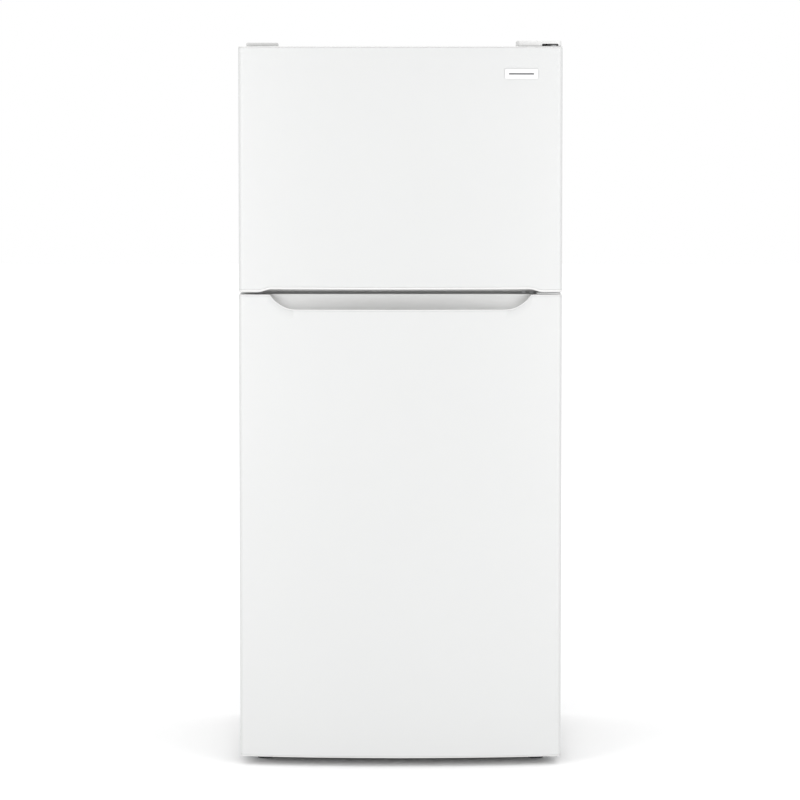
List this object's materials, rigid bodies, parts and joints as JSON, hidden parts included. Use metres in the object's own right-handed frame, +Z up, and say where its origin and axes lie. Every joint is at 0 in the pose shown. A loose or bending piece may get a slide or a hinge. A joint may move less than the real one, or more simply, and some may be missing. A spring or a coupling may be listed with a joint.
{
  "type": "top freezer refrigerator",
  "caption": "White top freezer refrigerator with bowed doors hinged on the right, a recessed grip between them, and a foamed cabinet with shelves, drawers and cooling machinery.",
  "frame": {"origin": "on the floor, under the middle of the overall box", "axes": "+Z up, the doors face -Y, +X towards the hinged side"},
  "size_m": [0.75, 0.772, 1.688],
  "materials": {
    "white_paint": "glossy enamel with a fine orange peel",
    "zinc_steel": "galvanised",
    "foam": "rigid foam, sealed inside",
    "white_liner": "vacuum-formed, satin",
    "white_plastic": "moulded, satin",
    "clear_plastic": "clear moulded",
    "shelf_glass": "tempered",
    "lamp_glass": "frosted",
    "black_paint": "satin black",
    "aluminium": "mill finish",
    "copper": "drawn tube",
    "seal": "soft vinyl",
    "dark_rubber": "matt",
    "dark_plastic": "moulded, matt",
    "white_wire": "coated wire"
  },
  "bodies": {
    "cabinet": {"cabinet_shell": "white_paint", "back_panel": "zinc_steel", "step_panel": "zinc_steel", "cabinet_foam": "foam", "freezer_liner": "white_liner", "fresh_food_liner": "white_liner", "divider_cover": "white_liner", "base_frame": "zinc_steel", "toe_grille": "white_plastic", "roller_axles": "zinc_steel", "bottom_hinge": "white_paint", "centre_hinge": "white_paint", "top_hinge": "white_paint", "top_hinge_cover": "white_plastic", "hinge_hole_cap": "white_plastic", "screws": "zinc_steel", "compressor": "black_paint", "compressor_grommets": "dark_rubber", "condenser_coil": "black_paint", "condenser_fan_motor": "zinc_steel", "drain_pan": "dark_plastic", "rear_cover": "zinc_steel", "evaporator_coil": "aluminium", "evaporator_cover": "white_liner", "evaporator_fan_motor": "zinc_steel", "freezer_shelf": "white_wire", "shelf_frames": "white_plastic", "shelf_glass": "shelf_glass", "drawer_runners": "white_liner", "control_housing": "white_liner", "lamp_lens": "clear_plastic", "lamp": "lamp_glass", "refrigerant_tubes": "copper"},
    "freezer_door": {"freezer_door_skin": "white_paint", "freezer_door_foam": "foam", "freezer_door_liner": "white_liner", "freezer_door_gasket": "seal", "freezer_door_top_cap": "white_plastic", "freezer_door_bottom_cap": "white_plastic", "freezer_door_bins": "clear_plastic", "badge_plate": "white_plastic"},
    "fridge_door": {"fridge_door_skin": "white_paint", "fridge_door_foam": "foam", "fridge_door_liner": "white_liner", "fridge_door_gasket": "seal", "fridge_door_top_cap": "white_plastic", "fridge_door_bottom_cap": "white_plastic", "fridge_door_bins": "clear_plastic"},
    "dairy_flap": {"dairy_flap": "clear_plastic"},
    "left_drawer": {"left_drawer": "clear_plastic"},
    "right_drawer": {"right_drawer": "clear_plastic"},
    "temperature_knob": {"temperature_knob": "white_plastic"},
    "freezer_knob": {"freezer_knob": "white_plastic"},
    "light_switch": {"light_switch": "white_plastic"},
    "condenser_fan": {"condenser_fan": "dark_plastic"},
    "evaporator_fan": {"evaporator_fan": "dark_plastic"},
    "left_leveling_leg": {"left_leveling_leg": "dark_plastic"},
    "right_leveling_leg": {"right_leveling_leg": "dark_plastic"},
    "left_roller": {"left_roller": "dark_plastic"},
    "right_roller": {"right_roller": "dark_plastic"}
  },
  "joints": [
    {"name": "freezer_door_swing", "type": "hinge", "parent": "cabinet", "child": "freezer_door", "pos_m": [0.357, -0.33, 1.39], "axis": [0, 0, 1], "range_deg": [0, 135]},
    {"name": "fridge_door_swing", "type": "hinge", "parent": "cabinet", "child": "fridge_door", "pos_m": [0.357, -0.33, 0.56], "axis": [0, 0, 1], "range_deg": [0, 135]},
    {"name": "dairy_flap_lift", "type": "hinge", "parent": "fridge_door", "child": "dairy_flap", "pos_m": [-0.1585, -0.198, 1.022], "axis": [1, 0, 0], "range_deg": [0, 90]},
    {"name": "left_drawer_slide", "type": "slide", "parent": "cabinet", "child": "left_drawer", "axis": [0, -1, 0], "range_m": [0, 0.25]},
    {"name": "right_drawer_slide", "type": "slide", "parent": "cabinet", "child": "right_drawer", "axis": [0, -1, 0], "range_m": [0, 0.25]},
    {"name": "temperature_knob_turn", "type": "hinge", "parent": "cabinet", "child": "temperature_knob", "pos_m": [-0.09, -0.07, 1.0345], "axis": [0, 1, 0], "range_deg": [-135, 135]},
    {"name": "freezer_knob_turn", "type": "hinge", "parent": "cabinet", "child": "freezer_knob", "pos_m": [0, 0.232, 1.2165], "axis": [0, 1, 0], "range_deg": [-135, 135]},
    {"name": "light_switch_travel", "type": "slide", "parent": "cabinet", "child": "light_switch", "axis": [0, -1, 0], "range_m": [0, 0.008]},
    {"name": "condenser_fan_spin", "type": "hinge", "parent": "cabinet", "child": "condenser_fan", "pos_m": [0.03, 0.266, 0.15], "axis": [1, 0, 0], "continuous": true},
    {"name": "evaporator_fan_spin", "type": "hinge", "parent": "cabinet", "child": "evaporator_fan", "pos_m": [0, 0.26, 1.534], "axis": [0, 1, 0], "continuous": true},
    {"name": "left_leveling_leg_screw", "type": "slide", "parent": "cabinet", "child": "left_leveling_leg", "axis": [0, 0, 1], "range_m": [-0.012, 0]},
    {"name": "right_leveling_leg_screw", "type": "slide", "parent": "cabinet", "child": "right_leveling_leg", "axis": [0, 0, 1], "range_m": [-0.012, 0]},
    {"name": "left_roller_spin", "type": "hinge", "parent": "cabinet", "child": "left_roller", "pos_m": [-0.338, 0.332, 0.02], "axis": [1, 0, 0], "continuous": true},
    {"name": "right_roller_spin", "type": "hinge", "parent": "cabinet", "child": "right_roller", "pos_m": [0.338, 0.332, 0.02], "axis": [1, 0, 0], "continuous": true}
  ],
  "couplings": [
    {"joint": "left_drawer_slide", "follows": "fridge_door_swing", "m_per_rad": 0.10606},
    {"joint": "right_drawer_slide", "follows": "fridge_door_swing", "m_per_rad": 0.10606},
    {"joint": "light_switch_travel", "follows": "fridge_door_swing", "m_per_rad": 0.003353}
  ]
}
